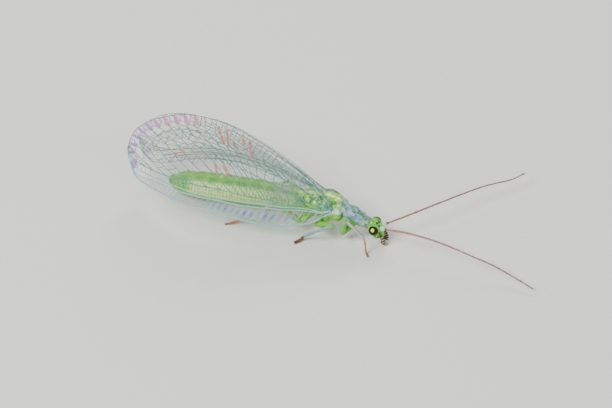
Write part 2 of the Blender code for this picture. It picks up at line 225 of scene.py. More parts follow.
def makePiece(name, shell, material, paint, nodes=(), density=None):
    points, faces, values = shell
    mesh = bpy.data.meshes.new(name)
    mesh.vertices.add(len(points))
    mesh.vertices.foreach_set("co", toFrame(points).astype(np.float32).ravel())
    mesh.loops.add(len(faces) * 3)
    mesh.loops.foreach_set("vertex_index", faces.astype(np.int32).ravel())
    mesh.polygons.add(len(faces))
    mesh.polygons.foreach_set("loop_start", (np.arange(len(faces)) * 3).astype(np.int32))
    mesh.update(calc_edges=True)
    mesh.validate()
    mesh.polygons.foreach_set("use_smooth", np.ones(len(mesh.polygons), bool))
    uv = mesh.uv_layers.new(name="surface")
    loopPoint = readOut(mesh.loops, "vertex_index", kind=np.int32)[:, 0]
    uv.data.foreach_set("uv", values[loopPoint].astype(np.float32).ravel())
    colour = np.ones((len(points), 4), np.float32)
    colour[:, :3] = np.clip(paint, 0, 1)
    mesh.color_attributes.new("paint", "FLOAT_COLOR", "POINT").data.foreach_set("color", colour.ravel())
    # the film's density, raised where painted sheen and glints are
    if density is not None:
        mesh.attributes.new("filmAndSheenDepth", "FLOAT", "POINT").data.foreach_set(
            "value", density.astype(np.float32))
    mesh.materials.append(material)
    piece = placed(name, mesh)
    if nodes:
        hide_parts(*nodes)
    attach(piece, "root")
    print("made", name, len(faces), "triangles")


# shaders

shades = {"patchEdge": (0.42, 0.62), "fineHeight": 0.6, "roughness": (0.28, 0.55), "grainDepth": 0.35,
          "glowRadius": (1.0, 1.0, 0.4), "glowDepth": 0.12, "ripple": 0.35, "rippleDepth": 0.02}


def setInputs(node, values):
    for key, value in values.items():
        node.inputs[key].default_value = value


def addNode(tree, kind, inputs={}, **settings):
    made = tree.nodes.new(kind)
    for key, value in settings.items():
        setattr(made, key, value)
    setInputs(made, inputs)
    return made


def wire(tree, *links):
    # each link is a node and its output, then a node and its input
    for source, output, target, entry in links:
        tree.links.new(source.outputs[output], target.inputs[entry])


def newMaterial(name):
    made = bpy.data.materials.new(name)
    made.use_nodes = True
    return made, made.node_tree, made.node_tree.nodes["Principled BSDF"]


def buildGrainGroup():
    # two noises over the surface: a soft one varies the tone, a fine one gives pores and pits
    group = bpy.data.node_groups.new("cuticleGrain", "ShaderNodeTree")
    for way, name, kind in (("INPUT", "Colour", "Color"), ("INPUT", "Second", "Color"),
                            ("INPUT", "Patch size", "Float"), ("INPUT", "Patch amount", "Float"),
                            ("INPUT", "Grain size", "Float"), ("OUTPUT", "Colour", "Color"),
                            ("OUTPUT", "Height", "Float"), ("OUTPUT", "Roughness", "Float")):
        group.interface.new_socket(name, in_out=way, socket_type="NodeSocket" + kind)
    given, out = addNode(group, "NodeGroupInput"), addNode(group, "NodeGroupOutput")
    where = addNode(group, "ShaderNodeTexCoord")
    soft = addNode(group, "ShaderNodeTexNoise", {"Detail": 3.0})
    fine = addNode(group, "ShaderNodeTexNoise", {"Detail": 2.0})
    pits = addNode(group, "ShaderNodeTexVoronoi")
    for texture, size in ((soft, "Patch size"), (fine, "Grain size"), (pits, "Grain size")):
        wire(group, (where, "Object", texture, "Vector"), (given, size, texture, "Scale"))
    band = addNode(group, "ShaderNodeMapRange", dict(zip(("From Min", "From Max"), shades["patchEdge"])))
    dull = addNode(group, "ShaderNodeMapRange", dict(zip(("To Min", "To Max"), shades["roughness"])))
    amount = addNode(group, "ShaderNodeMath", operation="MULTIPLY")
    mix = addNode(group, "ShaderNodeMix", data_type="RGBA")
    height = addNode(group, "ShaderNodeMath", {1: shades["fineHeight"]}, operation="MULTIPLY_ADD")
    wire(group, (soft, "Fac", band, "Value"), (band, "Result", amount, 0),
         (given, "Patch amount", amount, 1), (amount, "Value", mix, 0), (given, "Colour", mix, 6),
         (given, "Second", mix, 7), (mix, 2, out, "Colour"), (fine, "Fac", height, 0),
         (pits, "Distance", height, 2), (height, "Value", out, "Height"),
         (fine, "Fac", dull, "Value"), (dull, "Result", out, "Roughness"))
    return group


grainGroup = buildGrainGroup()


def paintedFinish(name, second, patchSize, patchAmount, grainSize, bump, coat, glow=0.0):
    # the piece's own paint, broken up by soft patches and fine grain
    made, tree, shader = newMaterial(name)
    paint = addNode(tree, "ShaderNodeAttribute", attribute_name="paint")
    grain = addNode(tree, "ShaderNodeGroup", node_tree=grainGroup)
    setInputs(grain, {"Second": (*second, 1), "Patch size": 1 / (patchSize * mm),
                      "Patch amount": patchAmount, "Grain size": 1 / (grainSize * mm)})
    relief = addNode(tree, "ShaderNodeBump",
                     {"Strength": bump, "Distance": grainSize * mm * shades["grainDepth"]})
    wire(tree, (paint, "Color", grain, "Colour"), (grain, "Colour", shader, "Base Color"),
         (grain, "Roughness", shader, "Roughness"), (grain, "Height", relief, "Height"),
         (relief, "Normal", shader, "Normal"))
    setInputs(shader, {"Coat Weight": coat, "Coat Roughness": 0.25})
    if glow:
        setInputs(shader, {"Subsurface Weight": glow, "Subsurface Radius": shades["glowRadius"],
                           "Subsurface Scale": shades["glowDepth"] * mm})
    return made


def membraneFinish():
    # clear film: thin colour, with the painted sheen and glints, and thickness come from the piece's
    # paint and density
    made, tree, shader = newMaterial("wingMembrane")
    paint = addNode(tree, "ShaderNodeAttribute", attribute_name="paint")
    film = addNode(tree, "ShaderNodeAttribute", attribute_name="filmAndSheenDepth")
    where = addNode(tree, "ShaderNodeTexCoord")
    ripple = addNode(tree, "ShaderNodeTexNoise", {"Scale": 1 / (shades["ripple"] * mm), "Detail": 3.0})
    relief = addNode(tree, "ShaderNodeBump", {"Strength": 0.35, "Distance": shades["rippleDepth"] * mm})
    wire(tree, (where, "Object", ripple, "Vector"), (ripple, "Fac", relief, "Height"),
         (relief, "Normal", shader, "Normal"), (paint, "Color", shader, "Base Color"),
         (film, "Fac", shader, "Alpha"))
    setInputs(shader, {"Roughness": 0.18, "Coat Weight": 0.6, "Coat Roughness": 0.08})
    return made


# colour of the patches, their size and amount, size of the grain, bump, coat, glow under the skin
finishes = {
    "skin": paintedFinish("greenCuticle", (0.26, 0.56, 0.05), 0.45, 0.15, 0.05, 0.45, 0.25, 0.10),
    "eye": paintedFinish("eyeFacets", (0.02, 0.03, 0.01), 0.30, 0.10, 0.03, 0.2, 0.12),
    "horn": paintedFinish("feelerHorn", (0.52, 0.28, 0.18), 0.20, 0.35, 0.03, 0.3, 0.15),
    "leg": paintedFinish("legCuticle", (0.55, 0.60, 0.42), 0.30, 0.10, 0.04, 0.3, 0.3, 0.05),
    "palp": paintedFinish("palpHorn", (0.10, 0.07, 0.05), 0.10, 0.3, 0.03, 0.3, 0.4),
    "vein": paintedFinish("wingVein", (0.30, 0.58, 0.46), 0.25, 0.35, 0.04, 0.3, 0.3),
    "hair": paintedFinish("hair", (0.30, 0.24, 0.16), 0.20, 0.2, 0.05, 0.1, 0.1),
    "membrane": membraneFinish(),
}

setInputs(finishes["eye"].node_tree.nodes["Principled BSDF"], {"Specular IOR Level": 0.2})

# body skin

trunk = {
    # distance along the body, height of its middle, half height
    "axis": ((3.42, 1.20, 0.27), (3.18, 1.31, 0.31), (2.95, 1.45, 0.42), (2.20, 1.80, 0.45),
             (1.60, 2.05, 0.47), (1.15, 2.10, 0.70), (0.40, 2.10, 0.88), (-0.25, 2.03, 0.82),
             (-0.80, 1.98, 0.82), (-1.50, 1.90, 0.72), (-2.20, 1.85, 0.74), (-3.60, 1.72, 0.82),
             (-5.40, 1.52, 0.87), (-7.20, 1.30, 0.88), (-8.80, 1.10, 0.84), (-9.90, 0.95, 0.72),
             (-10.60, 0.87, 0.50), (-10.93, 0.84, 0.22)),
    "wide": 1.06, "segments": 8, "segmentStart": -1.9, "segmentEnd": -10.3,
    "ringDepth": 0.05, "sideFold": 0.05, "voxel": 0.042, "smoothing": 5,
}


def alongTrunk(x):
    # height of the trunk's middle, its half height, and the count of abdomen rings up to x
    phase = (x - trunk["segmentStart"]) / (trunk["segmentEnd"] - trunk["segmentStart"])
    return smoothCurve(trunk["axis"], x), smoothCurve(trunk["axis"], x, 2), phase * trunk["segments"]


def trunkShell():
    # point = axis + half size * (cos angle, sin angle), pinched at each joint and folded at the side
    x = np.linspace(trunk["axis"][0][0], trunk["axis"][-1][0], 420)
    middle, half, phase = alongTrunk(x)
    inside = step(phase, -0.2, 0.2) * (1 - step(phase, 7.6, 8.2))
    joint = bell((phase + 0.5) % 1.0 - 0.5, 0, 0.10)
    h = (half * (1 - trunk["ringDepth"] * joint * inside))[:, None]
    a = np.linspace(0, 2 * np.pi, 72, endpoint=False)[None]
    fold = inside[:, None] * trunk["sideFold"] * (bell(np.sin(a), -0.10, 0.10)
                                                  + bell(np.sin(a), 0.28, 0.10))
    square = 1 + 0.05 * np.sin(2 * a) ** 2
    y = h * trunk["wide"] * np.cos(a) * square * (1 - fold)
    z = middle[:, None] + h * np.sin(a) * square * (1 - fold)
    rings = np.stack(np.broadcast_arrays(x[:, None], y, z), -1)
    return capped(rings, np.zeros((*rings.shape[:2], 2)))


# centre and half size of the right-hand ones; each is there on both sides
lobes = {
    "scutum": ((0.74, 0.36, 2.50), (0.60, 0.42, 0.36)),
    "hinge": ((1.40, 0.64, 2.14), (0.24, 0.18, 0.17)),
    "shoulder": ((1.22, 0.42, 2.30), (0.28, 0.28, 0.28)),
    "belowHinge": ((1.22, 0.46, 1.66), (0.42, 0.32, 0.34)),
    "side": ((0.45, 0.62, 1.80), (0.62, 0.36, 0.62)),
    "wingRoot": ((0.42, 0.84, 2.42), (0.30, 0.16, 0.17)),
    "hindScutum": ((-0.72, 0.40, 2.46), (0.44, 0.42, 0.36)),
    "hindSide": ((-0.85, 0.56, 1.68), (0.52, 0.34, 0.52)),
    "hindWingRoot": ((-0.95, 0.80, 2.36), (0.26, 0.15, 0.16)),
    "collar": ((2.72, 0.44, 1.62), (0.30, 0.14, 0.16)),
    "pronotumEdge": ((2.05, 0.50, 1.96), (0.44, 0.12, 0.14)),
    "cheek": ((3.98, 0.31, 0.76), (0.26, 0.22, 0.30)),
    "socket": ((4.22, 0.20, 1.27), (0.12, 0.12, 0.11)),
    "jaw": ((4.30, 0.13, 0.60), (0.14, 0.12, 0.16)),
}
# centre, half size and turn
middleLobes = {
    "prescutum": ((1.16, 0.0, 2.56), (0.36, 0.36, 0.28), 0.35),
    "scutellum": ((0.02, 0.0, 2.76), (0.30, 0.36, 0.24), 0.1),
    "hindScutellum": ((-1.20, 0.0, 2.48), (0.24, 0.32, 0.22), 0.1),
    "headCapsule": ((3.84, 0.0, 1.24), (0.42, 0.50, 0.44), 0.4),
    "vertex": ((3.80, 0.0, 1.44), (0.27, 0.36, 0.22), 0.3),
    "frons": ((4.12, 0.0, 1.04), (0.28, 0.34, 0.38), 0.3),
    "clypeus": ((4.27, 0.0, 0.74), (0.15, 0.24, 0.18), 0.3),
    "labrum": ((4.31, 0.0, 0.56), (0.10, 0.17, 0.13), 0.2),
    "tailUpper": ((-10.72, 0.0, 1.00), (0.36, 0.44, 0.34), 0.0),
    "tailLower": ((-10.62, 0.0, 0.66), (0.38, 0.36, 0.24), 0.1),
}
# the places down the middle of each hip, and its radius at them
hips = {
    "fore": (((2.42, 0.20, 1.50), (2.20, 0.42, 1.08), (1.80, 0.78, 0.64)), (0.26, 0.23, 0.15)),
    "mid": (((0.55, 0.35, 1.45), (0.20, 0.66, 1.12), (-0.10, 0.94, 0.98)), (0.34, 0.27, 0.18)),
    "hind": (((-0.70, 0.35, 1.40), (-0.95, 0.66, 1.08), (-1.12, 0.98, 0.90)), (0.34, 0.27, 0.18)),
}


def fusedSkin(shells):
    # the shells are fused into one closed skin in millimetres, then relaxed
    points, faces, _ = joined(shells)
    mesh = bpy.data.meshes.new("rawSkin")
    mesh.from_pydata(points.tolist(), [], faces.tolist())
    raw = placed("rawSkin", mesh)
    fuse = raw.modifiers.new("fuse", "REMESH")
    fuse.mode, fuse.voxel_size, fuse.adaptivity = "VOXEL", trunk["voxel"], 0.0
    relax = raw.modifiers.new("relax", "SMOOTH")
    relax.factor, relax.iterations = 0.5, trunk["smoothing"]
    seen = raw.evaluated_get(bpy.context.evaluated_depsgraph_get())
    made = seen.to_mesh()
    made.calc_loop_triangles()
    points, normals = readOut(made.vertices, "co", 3), readOut(made.vertices, "normal", 3)
    triangles = readOut(made.loop_triangles, "vertices", 3, np.int32)
    seen.to_mesh_clear()
    bpy.data.objects.remove(raw, do_unlink=True)
    return (points, triangles, np.zeros((len(points), 2))), normals


skinColours = {
    "green": (0.040, 0.34, 0.006), "bright": (0.14, 0.55, 0.006), "dark": (0.015, 0.12, 0.005),
    "cream": (0.95, 1.0, 0.42), "white": (0.66, 0.82, 0.58), "lilac": (0.17, 0.32, 0.46),
    "yellow": (0.32, 0.65, 0.01), "black": (0.004, 0.006, 0.004), "mauve": (0.36, 0.29, 0.37),
    "teal": (0.08, 0.30, 0.27), "warm": (0.75, 0.28, 0.03), "ash": (0.46, 0.57, 0.62),
}
# small black marks: place and radius
marks = (
    ((0.95, 0.30, 3.00), 0.07), ((0.62, 0.62, 2.92), 0.08), ((1.30, 0.18, 2.90), 0.06),
    ((0.20, 0.30, 3.00), 0.06), ((1.62, 0.46, 2.40), 0.07), ((1.42, 0.70, 2.20), 0.07),
    ((2.30, 0.36, 2.16), 0.05), ((2.55, 0.36, 2.02), 0.05), ((2.86, 0.44, 1.62), 0.07),
    ((3.20, 0.30, 1.42), 0.06), ((4.30, 0.30, 0.84), 0.07), ((4.20, 0.34, 0.72), 0.05),
    ((4.36, 0.10, 1.06), 0.06), ((4.02, 0.00, 1.60), 0.06), ((4.38, 0.22, 0.62), 0.05),
    ((3.50, 0.42, 1.36), 0.09), ((3.26, 0.34, 1.20), 0.08), ((4.14, 0.26, 1.56), 0.08),
    ((4.24, 0.34, 0.98), 0.08), ((2.62, 0.10, 2.10), 0.06), ((2.40, 0.22, 2.16), 0.05),
    ((4.16, 0.38, 0.68), 0.11), ((3.94, 0.14, 1.62), 0.09), ((3.10, 0.42, 1.28), 0.09),
)


# where the paint changes along the body: abdomen to thorax, thorax to pronotum, pronotum to neck,
# and neck to head
borders = {"waist": (-1.9, -1.5), "neck": (1.35, 1.6), "nape": (3.30, 3.42), "head": (3.34, 3.46)}


def skinPaint(p):
    x, y, z = p[:, 0], np.abs(p[:, 1]), p[:, 2]
    middle, half, phase = alongTrunk(x)
    height = (z - middle) / half
    c = skinColours

    def spots(size, seed, start, end):
        return step(speckle(p, size, seed), start, end)

    def green(start, end):
        return mixColours(c["green"], c["bright"], step(z, start, end))

    # abdomen: pale band along the side, pale line down the back, paler joints
    joint = bell((phase + 0.5) % 1.0 - 0.5, 0, 0.09)
    side = step(height, -0.55, -0.25) * (1 - step(height, 0.74, 0.97)) * (1 - step(-x, 9.0, 9.6))
    side = side * (0.55 + 0.45 * step(-x, 2.6, 4.4))
    wrinkles = 0.62 + 0.38 * np.sin(x * 2 * np.pi / 0.21 + 1.3 * np.sin(x * 5.1 + z * 4))
    belly = layered(c["green"], c, (
        ("bright", 0.65 + 0.35 * np.sin(phase * 2 * np.pi + 1.0)),
        ("dark", 0.4 * step(-height, 0.3, 0.9)),
        ("yellow", 0.45 * joint),
        ("yellow", 0.8 * side),
        ("cream", side * wrinkles * (0.60 + 0.40 * bell(height, 0.45, 0.40))),
        ("yellow", 0.8 * bell(y, 0, 0.16) * step(height, 0.5, 0.8)),
        ("mauve", 0.55 * bell(x, -2.7, 0.7) * step(height, 0.1, 0.6)),
        ("dark", 0.20 * step(-x, 9.9, 10.5)),
        ("dark", 0.35 * spots(0.30, 6, 0.7, 1.1)),
        ("warm", 0.7 * spots(0.24, 7, 1.15, 1.4) * step(height, 0.55, 0.8))))
    # thorax: mottled green and cream, with a pale line down the back
    chest = layered(c["bright"], c, (
        ("yellow", spots(0.55, 1, -0.4, 0.5)),
        ("white", 0.85 * spots(0.42, 2, 0.55, 0.95) * step(z, 1.9, 2.3)),
        ("lilac", 0.6 * spots(0.38, 3, 0.8, 1.1) * step(z, 2.0, 2.4)),
        ("dark", 0.85 * spots(0.26, 4, 0.62, 0.9)),
        ("black", 0.9 * spots(0.20, 5, 0.80, 1.0)),
        ("cream", 0.9 * bell(x, 1.50, 0.16) * bell(y, 0.36, 0.16) * step(z, 2.2, 2.4)),
        ("cream", 0.8 * bell(y, 0, 0.12) * step(z, 2.4, 2.7)),
        ("cream", 0.8 * bell(x, 1.1, 0.35) * bell(z, 2.05, 0.22))))
    # pronotum: pale bluish grey shading to lilac, greener below
    shield = layered(c["teal"], c, (
        ("lilac", spots(0.8, 8, -0.5, 0.5)),
        ("ash", 0.8 * spots(0.5, 9, 0.45, 0.9)),
        ("mauve", 0.5 * spots(0.45, 10, 0.8, 1.1)),
        ("dark", 0.9 * spots(0.25, 11, 0.75, 1.0))))
    shield = layered(c["green"], c, (
        (shield, step(height, -0.35, 0.05)),
        ("white", 0.8 * bell(x, 3.05, 0.12) * bell(y, 0.36, 0.16))))
    # head: bright green with a yellow cheek
    skull = layered(c["bright"], c, (
        ("green", 0.5 * step(z, 1.2, 1.6)),
        ("yellow", 0.9 * bell(x, 3.98, 0.2) * bell(z, 0.92, 0.2)),
        ("white", 0.6 * bell(x, 4.22, 0.12) * bell(z, 1.3, 0.12)),
        ("cream", 0.6 * spots(0.34, 12, 0.6, 1.0)),
        ("dark", 0.8 * spots(0.24, 13, 0.7, 0.95))))
    # whitish hinges of the forewings, plain green below them and on the hips
    hinge = bell(x, 1.26, 0.34) * bell(y, 0.80, 0.22) * bell(z, 2.30, 0.20)
    under = bell(x, 1.25, 0.45) * step(y, 0.30, 0.50) * (1 - step(z, 1.80, 2.0))
    hip = step(y, 0.45, 0.8) * (1 - step(z, 1.15, 1.45)) * step(x, -1.6, -1.3)
    colour = layered(c["green"], c, (
        (belly, 1 - step(x, *borders["waist"])),
        (chest, step(x, *borders["waist"]) * (1 - step(x, *borders["neck"]))),
        (shield, step(x, *borders["neck"]) * (1 - step(x, *borders["nape"]))),
        (skull, step(x, *borders["head"])),
        ("white", np.clip(1.5 * hinge, 0, 1)),
        (green(1.3, 1.6), 0.55 * under),
        (green(0.6, 1.1), hip)))
    for place, radius in marks:
        away = np.sqrt((x - place[0]) ** 2 + (y - place[1]) ** 2 + (z - place[2]) ** 2)
        colour = mixColours(colour, c["black"], 1 - step(away, radius * 0.8, radius * 1.3))
    return colour


bodyShells = [trunkShell()]
for centre, half in lobes.values():
    bodyShells += [ball((centre[0], side * centre[1], centre[2]), half) for side, _ in sides]
for centre, half, turn in middleLobes.values():
    bodyShells.append(ball(centre, half, turn))
for route, radii in hips.values():
    for side, _ in sides:
        path = smoothPath([(x, side * y, z) for x, y, z in route], 24)
        bodyShells.append(tube(path, np.interp(np.linspace(0, 2, 24), (0, 1, 2), radii), 24, (1, 0, 0)))
skin, skinNormals = fusedSkin(bodyShells)
makePiece("bodySkin", skin, finishes["skin"], skinPaint(skin[0]),
          ("head", "prothorax", "mesothorax", "metathorax", "abdomen"))

# fine pale hairs stand on the thorax and the abdomen

bodyHair = {"count": 2200, "length": 0.17, "thickness": 0.006, "lowest": 0.05,
            "colour": (0.55, 0.55, 0.40), "sweep": (-0.7, 0, 0.1), "spread": 0.18}
pick = chance.choice(len(skin[0]), bodyHair["count"], replace=False)
roots, out = skin[0][pick], skinNormals[pick]
lean = unit(out + np.array(bodyHair["sweep"]) + chance.normal(0, bodyHair["spread"], out.shape))
length = bodyHair["length"] * chance.uniform(0.5, 1.0, (len(pick), 1))
keep = (roots[:, 2] + lean[:, 2] * bodyHair["length"]) > bodyHair["lowest"]
shell = hairs(roots[keep], (roots + lean * length)[keep], bodyHair["thickness"])
makePiece("bodyHairs", shell, finishes["hair"], plain(bodyHair["colour"], shell))

# eyes; the head is turned a little, so that the left one sits further back

# look is the direction, close to the camera's, where the painted yellow reflection sits
eye = {"centre": {-1: (3.87, 0.56, 1.30), 1: (3.71, 0.45, 1.25)}, "half": (0.33, 0.31, 0.35),
       "look": (0.04, -0.80, 0.58), "patchEdge": (0.915, 0.94),
       "black": (0.004, 0.005, 0.004), "goldGlint": (0.95, 0.88, 0.0), "green": (0.12, 0.52, 0.01)}


def eyePaint(p, side, centre):
    # black, with a painted yellow reflection, greener at its front, where the eye looks outward and up
    # towards the camera, and green towards the crown
    d = unit((p - centre) / np.array(eye["half"]))
    facing = d @ unit(np.array(eye["look"]) * (1, -side, 1))
    patch = layered(eye["goldGlint"], eye, (("green", step(d[:, 0] - 0.4 * d[:, 2], -0.05, 0.16)),))
    return layered(eye["black"], eye, ((patch, step(facing, *eye["patchEdge"])),
                                       ("green", step(-side * d[:, 1], 0.0, 0.12))))


for side, name in sides:
    centre = np.array(eye["centre"][side]) * (1, side, 1)
    shell = ball(centre, eye["half"], 0.3, 60, 80)
    makePiece("eye_" + name + "_look", shell, finishes["eye"], eyePaint(shell[0], side, centre),
              ("eye_" + name,))

# feelers

feeler = {
    "right": ((4.28, -0.21, 1.30), (4.50, -0.24, 1.36), (4.73, -0.24, 1.37), (6.37, -0.17, 1.45),
              (8.55, -0.28, 1.38), (10.94, -0.47, 1.05), (12.29, -0.54, 0.80),
              (13.70, -0.78, 0.50), (15.24, -1.21, 0.26)),
    "left": ((4.26, 0.20, 1.30), (4.40, 0.30, 1.37), (4.56, 0.42, 1.40), (5.71, 1.69, 1.50),
             (6.97, 3.24, 1.55), (8.82, 5.79, 1.40), (9.80, 6.94, 1.30), (10.67, 7.90, 1.15),
             (11.33, 9.10, 1.0)),
    "ring": 0.17, "root": 0.068, "tip": 0.034, "hairs": 1500, "hairLength": 0.09,
    "hair": (0.16, 0.09, 0.05),
    # middle, half length and radius of the two root joints
    "joints": ((0.12, 0.19, 0.18), (0.36, 0.09, 0.092)),
    "scape": (0.48, 0.80, 0.52), "pedicel": (0.03, 0.03, 0.03), "near": (0.42, 0.16, 0.08),
    "far": (0.20, 0.11, 0.07),
}


def feelerPiece(side):
    # a tube whose radius swells in each of its many short rings, thick at its two root joints
    route = smoothPath(feeler[side], 900)
    even = np.linspace(0, walked(route)[-1], 900)
    route = pointsAt(route, even)
    share = even / even[-1]
    ring = np.abs(np.sin(np.pi * even / feeler["ring"]))
    radius = (feeler["root"] + (feeler["tip"] - feeler["root"]) * share**0.8) * (0.86 + 0.2 * ring**0.5)
    for middle, half, size in feeler["joints"]:
        radius = np.maximum(radius, size * np.sqrt(np.clip(1 - ((even - middle) / half) ** 2, 0, 1)))
    radius[-6:] *= np.linspace(1, 0.3, 6)
    stem = tube(route, radius, 10)
    along = stem[2][:, 0]
    at = along * even[-1]
    joint = 1 - step(np.abs(np.sin(np.pi * at / feeler["ring"])), 0.1, 0.4)
    colour = layered(feeler["near"], feeler, (("far", step(along, 0.05, 0.8)),
                                              (np.array(feeler["far"]) * 0.5, 0.6 * joint)))
    colour = mixColours(feeler["pedicel"], colour, step(at, 0.42, 0.47))
    colour = mixColours(feeler["scape"], colour, step(at, 0.28, 0.31))
    roots, lean = hairsOnTube(route, radius, 60, 895, feeler["hairs"], 0.9, 1.2)
    brush = hairs(roots, roots + lean * feeler["hairLength"], 0.005)
    paint = np.concatenate([colour, plain(feeler["hair"], brush)])
    makePiece("feeler_" + side, joined([stem, brush]), finishes["horn"], paint,
              ("antenna_" + side,))


for _, name in sides:
    feelerPiece(name)

# palps and jaws

palps = {
    # the places down the middle, the count of beads and the radius
    "jawRight": (((4.26, 0.336, 0.80), (4.46, 0.40, 0.60), (4.55, 0.40, 0.36), (4.50, 0.336, 0.14)),
                 5, 0.125),
    "jawLeft": (((4.26, 0.336, 0.74), (4.46, 0.352, 0.50), (4.56, 0.256, 0.28), (4.54, 0.096, 0.13)),
                5, 0.125),
    "lip": (((4.24, 0.128, 0.50), (4.36, 0.192, 0.38), (4.40, 0.24, 0.24), (4.36, 0.272, 0.12)),
            3, 0.105),
    "jaws": (((4.36, 0.12, 0.44), (0.09, 0.10, 0.14)), ((4.36, -0.12, 0.44), (0.09, 0.10, 0.14)),
             ((4.28, 0.0, 0.40), (0.12, 0.15, 0.12))),
    "black": (0.012, 0.010, 0.008), "cream": (0.75, 0.50, 0.22), "horn": (0.10, 0.09, 0.05),
}


def palpShell(route, beads, size):
    # a string of beads: the radius rises and falls once in each joint
    beat = np.abs(np.sin(np.pi * np.linspace(0, 1, 90) * beads))
    shell = tube(smoothPath(route, 90), size * (0.45 + 0.55 * beat**0.6), 12, (1, 0, 0))
    bead = np.abs(np.sin(np.pi * shell[2][:, 0] * beads))
    return shell, mixColours(palps["cream"], palps["black"], step(bead, 0.30, 0.55))


made = []
for side, name in sides:
    for key in ("jaw" + name.title(), "lip"):
        route, beads, size = palps[key]
        made.append(palpShell([(x, side * y, z) for x, y, z in route], beads, size))
for centre, half in palps["jaws"]:
    shell = ball(centre, half, 0.3)
    made.append((shell, plain(palps["horn"], shell)))
shells, paints = zip(*made)
makePiece("palps", joined(shells), finishes["palp"], np.concatenate(paints),
          ("mouthparts",))

# legs

legs = {
    # hip end, knee, ankle and toe on the right side, the colours of thigh, shin and foot, and the
    # foot's radius
    "fore": {"joints": ((1.76, -0.82, 0.56), (2.06, -1.08, 2.04), (3.51, -1.30, 0.97),
                        (3.97, -1.84, 0.05)),
             "thigh": (0.11, 0.46, 0.015), "shin": (0.44, 0.45, 0.46), "foot": (0.46, 0.15, 0.04),
             "footSize": 0.072},
    "mid": {"joints": ((-0.10, -0.96, 0.98), (1.24, -1.34, 1.52), (-0.64, -1.72, 0.32),
                       (-1.10, -2.27, 0.05)),
            "thigh": (0.13, 0.48, 0.015), "shin": (0.20, 0.40, 0.44), "foot": (0.13, 0.030, 0.010),
            "footSize": 0.125},
    "hind": {"joints": ((-1.12, -1.00, 0.88), (-2.90, -1.28, 2.12), (-5.14, -1.62, 0.36),
                        (-6.14, -2.14, 0.05)),
             "thigh": (0.20, 0.50, 0.05), "shin": (0.52, 0.60, 0.46), "foot": (0.50, 0.14, 0.05),
             "footSize": 0.085},
    "foreLeft": ((1.76, -0.82, 0.56), (2.42, -1.08, 0.94), (3.25, -1.36, 0.36), (3.70, -1.76, 0.05)),
    "thighRadii": (0.16, 0.21, 0.17, 0.12), "shinRadii": (0.105, 0.095, 0.085, 0.10),
    "knee": (0.125, 0.12, 0.125), "footJoints": (0, 0.34, 0.52, 0.67, 0.80, 1.0),
    "claw": (0.10, 0.05, 0.03), "pad": (0.80, 0.70, 0.56), "bristle": (0.28, 0.22, 0.14),
    "thighBow": 0.05, "shinBow": 0.03,
}
# count and length of the bristles on each tube
bristly = {"thigh": (120, 0.12), "shin": (260, 0.15), "footJoint": (40, 0.09)}


def legTube(a, b, radii, bow):
    # point = a + (b - a) * share, bowed upward by sin(share * 180 degrees)
    share = np.linspace(0, 1, 26)
    path = a + (b - a) * share[:, None]
    path[:, 2] += bow * np.sin(np.pi * share)
    radius = np.interp(share, np.linspace(0, 1, len(radii)), radii)
    radius[[0, -1]] *= 0.55
    return path, radius, tube(path, radius, 14, (0, 1, 0))


def legPiece(which, side, sideName):
    look = legs[which]
    joints = legs["foreLeft"] if (which, side) == ("fore", 1) else look["joints"]
    hip, knee, ankle, toe = [np.array((x, -side * y, z)) for x, y, z in joints]
    thigh, shin = np.array(look["thigh"]), np.array(look["shin"])
    shells, paints, bristles = [], [], []

    def add(shell, colour):
        shells.append(shell)
        paints.append(plain(colour, shell))

    def addBristles(path, radius, count, length):
        roots, lean = hairsOnTube(path, radius, 1, len(path) - 1, count, 0.92, 0.9)
        tips = roots + lean * length * chance.uniform(0.6, 1, (count, 1))
        free = tips[:, 2] > 0.02
        bristles.append(hairs(roots[free], tips[free], 0.006))

    path, radius, shell = legTube(hip, knee, legs["thighRadii"], legs["thighBow"])
    add(shell, mixColours(thigh, shin, 0.7 * step(shell[2][:, 0], 0.75, 1.0)))
    addBristles(path, radius, *bristly["thigh"])
    add(ball(knee, legs["knee"], 0, 12, 16), thigh * 0.8)
    path, radius, shell = legTube(knee, ankle, legs["shinRadii"], legs["shinBow"])
    add(shell, mixColours(thigh * 0.9 + 0.1, shin, step(shell[2][:, 0], 0.02, 0.22)))
    addBristles(path, radius, *bristly["shin"])
    # five foot joints, each narrow at its root and wide at its end
    away = unit(np.array([toe[0] - ankle[0], toe[1] - ankle[1], 0.0]))
    heel = toe - away * 0.35 + np.array([0, 0, 0.06])
    route = smoothPath((ankle, (ankle + heel) / 2 + np.array([0, 0, -0.02]), heel, toe), 120)
    swell = np.interp(np.linspace(0, 1, 12), (0, 0.15, 0.85, 1), (0.45, 0.72, 1.0, 0.6))
    for start, end in zip(legs["footJoints"], legs["footJoints"][1:]):
        part = pointsAt(route, np.linspace(start, end, 12) * walked(route)[-1])
        add(tube(part, look["footSize"] * swell, 12, (0, 1, 0)),
            np.array(look["foot"]) * (1.15 if end < 1 else 0.55))
        addBristles(part, look["footSize"] * swell, *bristly["footJoint"])
    # two hooked claws and the pad between them
    for turn in (-1, 1):
        out = np.cross(away, (0, 0, 1)) * turn
        hook = smoothPath((toe, toe + away * 0.06 + out * 0.03 + np.array([0, 0, 0.015]),
                           toe + away * 0.11 + out * 0.045 + np.array([0, 0, -0.03])), 12)
        add(tube(hook, np.linspace(0.022, 0.005, 12), 8), legs["claw"])
    pad = 0.6 * look["footSize"]
    add(ball(toe + away * 0.05, (pad, pad, 0.04), 0, 10, 12), legs["pad"])
    add(joined(bristles), legs["bristle"])
    shell = joined(shells)
    shell[0][:, 2] = np.maximum(shell[0][:, 2], 0.002)
    name = "leg_" + which + "_" + sideName
    makePiece(name + "_look", shell, finishes["leg"], np.concatenate(paints),
              (name + "_femur", name + "_tibia"))


for which in ("fore", "mid", "hind"):
    for side, name in sides:
        legPiece(which, side, name)

# wings

